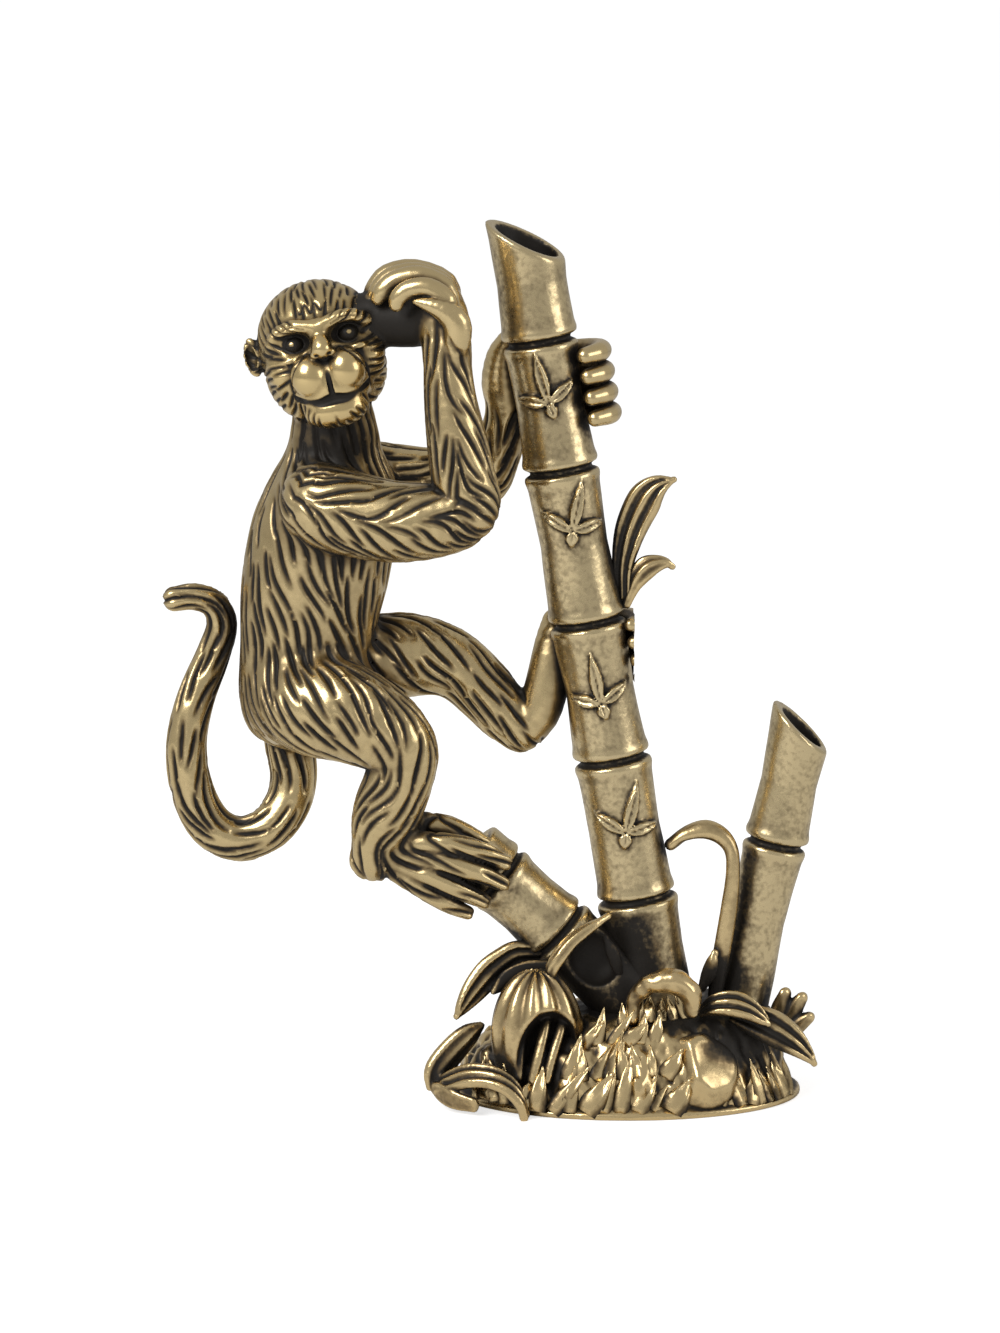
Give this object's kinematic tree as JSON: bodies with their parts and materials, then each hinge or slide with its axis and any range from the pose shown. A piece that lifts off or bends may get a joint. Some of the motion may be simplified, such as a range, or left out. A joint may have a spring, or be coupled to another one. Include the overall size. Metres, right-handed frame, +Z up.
{
  "type": "monkey figurine",
  "caption": "Solid brass figurine of a monkey climbing a leaning cut bamboo stalk, on a small mound with shoots, leaves and grass.",
  "frame": {"origin": "middle of the underside of the whole object's bounding box, on the surface that it stands on", "axes": "+Z up along the height; the front, as pictured, looks towards -Y; the monkey is on the -X side of the stalk"},
  "size_m": [0.0494, 0.0184, 0.0641],
  "materials": {
    "fur_brass": "antique brass, dark in the engraved fur, rubbed bright on the high places",
    "bamboo_brass": "antique brass, smooth and hand finished, dark in the joints",
    "ground_brass": "antique brass, dark between leaves and grass"
  },
  "bodies": {
    "root": {"main_stalk": "bamboo_brass", "small_stalk": "bamboo_brass", "stump": "bamboo_brass", "base_mound": "ground_brass", "bridge_leaf": "ground_brass", "upper_leaf_long": "ground_brass", "upper_leaf_short": "ground_brass", "bamboo_shoot": "ground_brass", "sheath_leaf": "ground_brass", "arched_leaf": "ground_brass", "curled_leaf": "ground_brass", "rock": "ground_brass", "root_knob": "ground_brass", "floor_leaf": "ground_brass", "ribbed_leaf": "ground_brass", "tuft": "ground_brass", "grass_blades": "ground_brass", "torso": "fur_brass", "head": "fur_brass", "right_ear": "fur_brass", "left_ear": "fur_brass", "right_upper_arm": "fur_brass", "right_forearm": "fur_brass", "right_hand": "fur_brass", "left_upper_arm": "fur_brass", "left_forearm": "fur_brass", "left_hand": "fur_brass", "right_thigh": "fur_brass", "right_shin": "fur_brass", "right_foot": "fur_brass", "left_thigh": "fur_brass", "left_shin": "fur_brass", "left_foot": "fur_brass", "tail": "fur_brass"}
  },
  "joints": []
}
